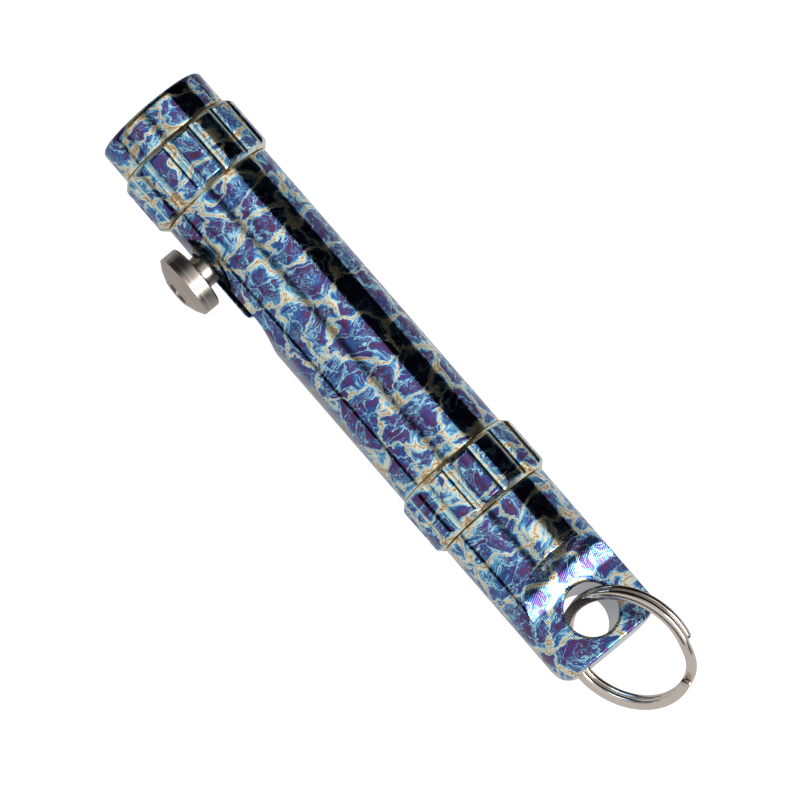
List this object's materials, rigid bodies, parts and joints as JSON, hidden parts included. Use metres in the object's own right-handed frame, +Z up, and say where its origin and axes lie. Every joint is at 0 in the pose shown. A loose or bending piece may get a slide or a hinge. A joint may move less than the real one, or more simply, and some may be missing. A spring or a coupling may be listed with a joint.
{
  "type": "keychain flashlight",
  "caption": "Small round metal flashlight with a bolt-action side knob in an L-shaped slot, fluted collars, a flattened tail lug and a split key ring.",
  "frame": {"origin": "middle of the light's footprint, on the surface it rests on", "axes": "+X from the lit end to the key ring, the light shines towards -X; -Y is the bolt knob's side; +Z up"},
  "size_m": [0.0886, 0.0186, 0.0162],
  "materials": {
    "flamed_titanium": "mirror polished and heat coloured, blue, violet and cream",
    "turned_titanium": "fine turned, warm grey",
    "nickel_ring": "bright nickel plate",
    "lens_glass": "polished",
    "rubber": "smooth",
    "reflector_mirror": "mirror",
    "phosphor_ceramic": "matte",
    "white_plastic": "matte",
    "black_plastic": "satin",
    "copper_board": "satin",
    "brass": "turned",
    "driver_board": "satin",
    "steel": "bright",
    "cell_wrap": "gloss"
  },
  "bodies": {
    "body": {"bezel_ring": "flamed_titanium", "lens": "lens_glass", "lens_o_ring": "rubber", "reflector": "reflector_mirror", "led_emitter": "phosphor_ceramic", "led_gasket": "white_plastic", "led_board": "copper_board", "engine_pill": "brass", "led_wire_positive": "rubber", "led_wire_negative": "black_plastic", "driver_board": "driver_board", "driver_chip": "black_plastic", "driver_capacitor_a": "phosphor_ceramic", "driver_capacitor_b": "phosphor_ceramic", "driver_contact": "brass", "front_collar": "flamed_titanium", "head_o_ring": "rubber", "barrel": "flamed_titanium", "rear_collar": "flamed_titanium", "bolt_spring": "steel", "cell_positive_cap": "steel", "cell_insulator": "white_plastic", "cell_can": "steel", "cell_wrap": "cell_wrap"},
    "bolt": {"bolt_carriage": "black_plastic", "contact_pin": "brass", "bolt_stem": "turned_titanium", "bolt_knob": "turned_titanium"},
    "cap_lead": {"tail_o_ring": "rubber"},
    "cap": {"tail_cap": "flamed_titanium", "tail_spring": "steel", "tail_contact_disc": "brass"},
    "key_ring": {"split_ring": "nickel_ring"}
  },
  "joints": [
    {"name": "bolt_slide", "type": "slide", "parent": "body", "child": "bolt", "axis": [1, 0, 0], "range_m": [0, 0.009], "stiffness_N_per_m": 300, "springref_m": -0.003, "deforming": ["bolt_spring"]},
    {"name": "cap_advance", "type": "slide", "parent": "body", "child": "cap_lead", "axis": [1, 0, 0], "range_m": [0, 0.0034]},
    {"name": "cap_unscrew", "type": "hinge", "parent": "cap_lead", "child": "cap", "pos_m": [0.01326, 0.00157, 0.0078], "axis": [1, 0, 0], "range_deg": [0, 1600]},
    {"name": "ring_swing", "type": "hinge", "parent": "cap", "child": "key_ring", "pos_m": [0.03051, 0.00157, 0.0078], "axis": [0, -0.2419, 0.9703], "range_deg": [-110, 85]}
  ],
  "couplings": [
    {"joint": "cap_advance", "follows": "cap_unscrew", "m_per_rad": 0.00011937}
  ]
}
